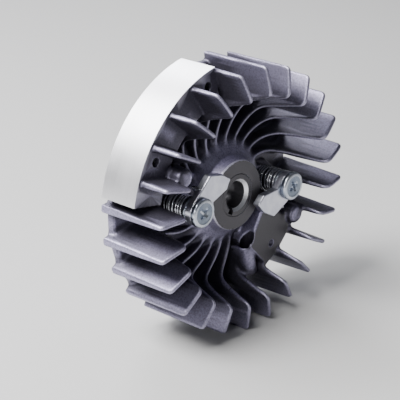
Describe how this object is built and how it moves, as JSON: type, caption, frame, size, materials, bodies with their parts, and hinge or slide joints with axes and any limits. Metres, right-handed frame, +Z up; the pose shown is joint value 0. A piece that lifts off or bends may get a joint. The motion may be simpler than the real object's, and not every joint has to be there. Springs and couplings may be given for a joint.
{
  "type": "engine flywheel",
  "caption": "Finned fan flywheel of a small two-stroke engine: cast wheel with a turned magnet sector, keyed taper hub and two spring-loaded starter pawls.",
  "frame": {"origin": "on the wheel's axis, in the middle of the straight end of the crank bore", "axes": "+Y along the axis towards the engine, so the finned front and the pawls face -Y; +Z up and +X right as seen from the front, the wheel standing on its rim"},
  "size_m": [0.1004, 0.0324, 0.1003],
  "materials": {
    "cast_aluminium": "fine blasted die casting, satin, with a bright turned band over the magnet",
    "bush_steel": "turned steel, dull",
    "magnet_ferrite": "matt dark magnet",
    "pole_steel": "stacked sheet steel",
    "pawl_steel": "stamped, tumbled and zinc plated",
    "spring_wire": "drawn spring wire, lightly oiled",
    "plated_washer": "bright zinc plate",
    "plated_screw": "bright zinc plate with a bluish tint"
  },
  "bodies": {
    "wheel": {"flywheel_casting": "cast_aluminium", "hub_bush": "bush_steel", "rotor_magnet": "magnet_ferrite", "pole_shoe_leading": "pole_steel", "pole_shoe_trailing": "pole_steel", "pole_pins": "pole_steel", "pawl_spring_left": "spring_wire", "pawl_spring_right": "spring_wire", "pawl_washer_left": "plated_washer", "pawl_washer_right": "plated_washer", "pawl_screw_left": "plated_screw", "pawl_screw_right": "plated_screw"},
    "left_pawl": {"pawl_left": "pawl_steel"},
    "right_pawl": {"pawl_right": "pawl_steel"}
  },
  "joints": [
    {"name": "left_pawl_swing", "type": "hinge", "parent": "wheel", "child": "left_pawl", "pos_m": [-0.02463, -0.00655, 0.00185], "axis": [0, -1, 0], "range_deg": [-17.5, 34], "stiffness_Nm_per_rad": 0.03, "deforming": ["pawl_spring_left"]},
    {"name": "right_pawl_swing", "type": "hinge", "parent": "wheel", "child": "right_pawl", "pos_m": [0.02463, -0.00655, -0.00185], "axis": [0, -1, 0], "range_deg": [0, 51.5], "stiffness_Nm_per_rad": 0.03, "springref_deg": -9.74, "deforming": ["pawl_spring_right"]}
  ]
}
